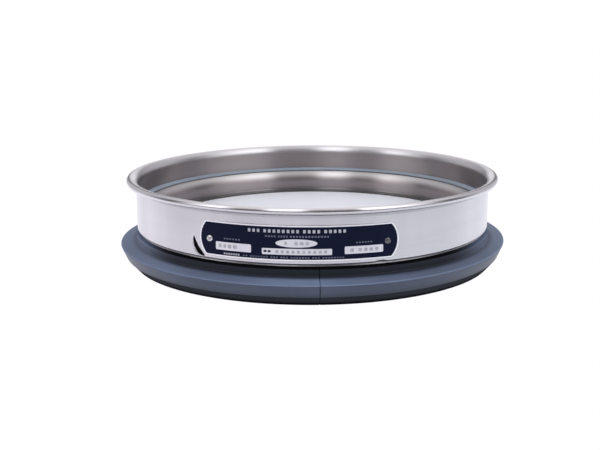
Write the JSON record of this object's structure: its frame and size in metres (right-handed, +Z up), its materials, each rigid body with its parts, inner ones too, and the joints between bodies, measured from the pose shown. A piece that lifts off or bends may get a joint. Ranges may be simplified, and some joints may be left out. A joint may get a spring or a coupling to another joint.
{
  "type": "test sieve",
  "caption": "Round half-height laboratory test sieve: rolled-rim steel frame, fine wire cloth held by an inner ring, curved nameplate and a rubber seal ring round the skirt.",
  "frame": {"origin": "centre of the circle that the seal ring stands on, on the surface it rests on", "axes": "+Z up along the sieve's axis, towards the rolled rim; -Y towards the middle of the nameplate; +X to the right of a person facing the nameplate"},
  "size_m": [0.2245, 0.2244, 0.0504],
  "materials": {
    "polished_steel": "bright spun stainless sheet with fine turning marks",
    "satin_steel": "satin spun stainless sheet",
    "woven_wire": "very fine woven stainless wire",
    "gasket_rubber": "smooth satin",
    "seal_rubber": "smooth extruded, semi-gloss",
    "dark_bond": "cured bonding compound, matte",
    "printed_plate": "navy printed field with bare metal border and windows",
    "rivet_metal": "bright"
  },
  "bodies": {
    "root": {"frame_shell": "polished_steel", "cloth_ring": "satin_steel", "inner_gasket": "gasket_rubber", "wire_cloth": "woven_wire", "cloth_bond": "dark_bond", "skirt": "satin_steel", "seal_ring": "seal_rubber", "nameplate": "printed_plate", "nameplate_rivets": "rivet_metal"}
  },
  "joints": []
}
